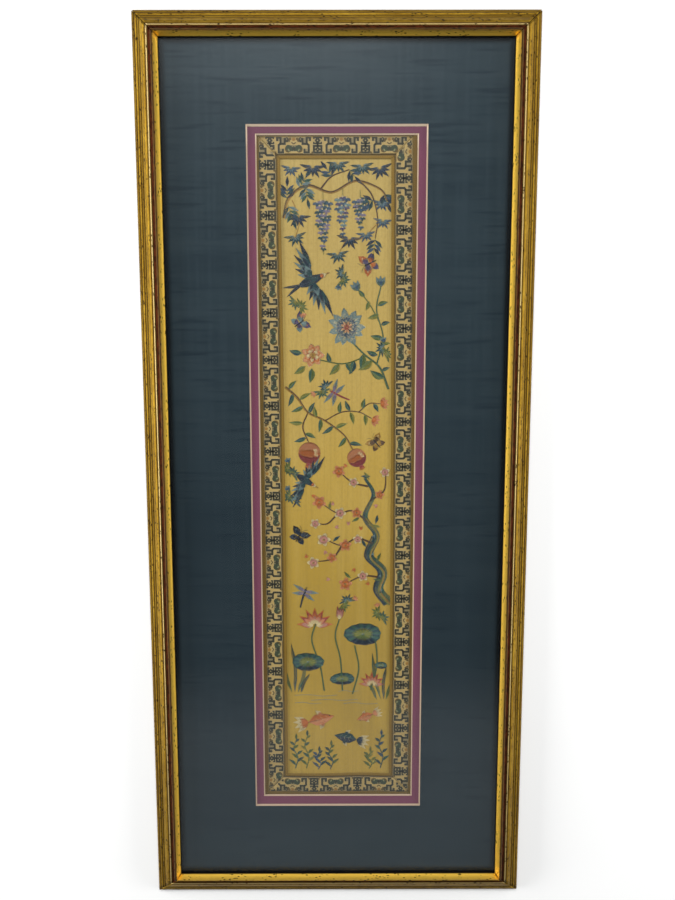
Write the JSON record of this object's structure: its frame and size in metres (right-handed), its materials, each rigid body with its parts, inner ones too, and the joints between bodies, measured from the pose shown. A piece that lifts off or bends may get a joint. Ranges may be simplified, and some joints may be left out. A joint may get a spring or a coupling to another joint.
{
  "type": "framed silk embroidery panel with its frame",
  "caption": "Tall narrow silk embroidery with woven ribbon and braid borders, under glass in a double bevelled mat and a ribbed gilt frame, lying on its back.",
  "frame": {"origin": "middle of the frame, on the flat back of the rails", "axes": "+X to the picture's right, +Y to the picture's top, +Z out of its face"},
  "size_m": [0.366, 0.855, 0.0222],
  "materials": {
    "gilt": "antique gold leaf over dark red bole, worn along its lines",
    "glass": "clear, slightly hazed",
    "mat_silk": "slate blue slubbed silk laid on card",
    "mat_plum": "matte plum card with a cream core",
    "straw_silk": "straw gold silk, satin sheen",
    "ribbon": "figured woven ribbon",
    "braid": "dull gold braid",
    "backing": "plain grey-brown board",
    "embroidery": "glossy floss silk in satin stitch"
  },
  "bodies": {
    "root": {"rail_left": "gilt", "rail_right": "gilt", "rail_top": "gilt", "rail_bottom": "gilt", "glass": "glass", "outer_mat": "mat_silk", "inner_mat": "mat_plum", "silk_ground": "straw_silk", "ribbon_left": "ribbon", "ribbon_right": "ribbon", "ribbon_top": "ribbon", "ribbon_bottom": "ribbon", "inner_braid_left": "braid", "inner_braid_right": "braid", "inner_braid_top": "braid", "inner_braid_bottom": "braid", "outer_braid_left": "braid", "outer_braid_right": "braid", "outer_braid_top": "braid", "outer_braid_bottom": "braid", "backing_board": "backing"}
  },
  "joints": []
}
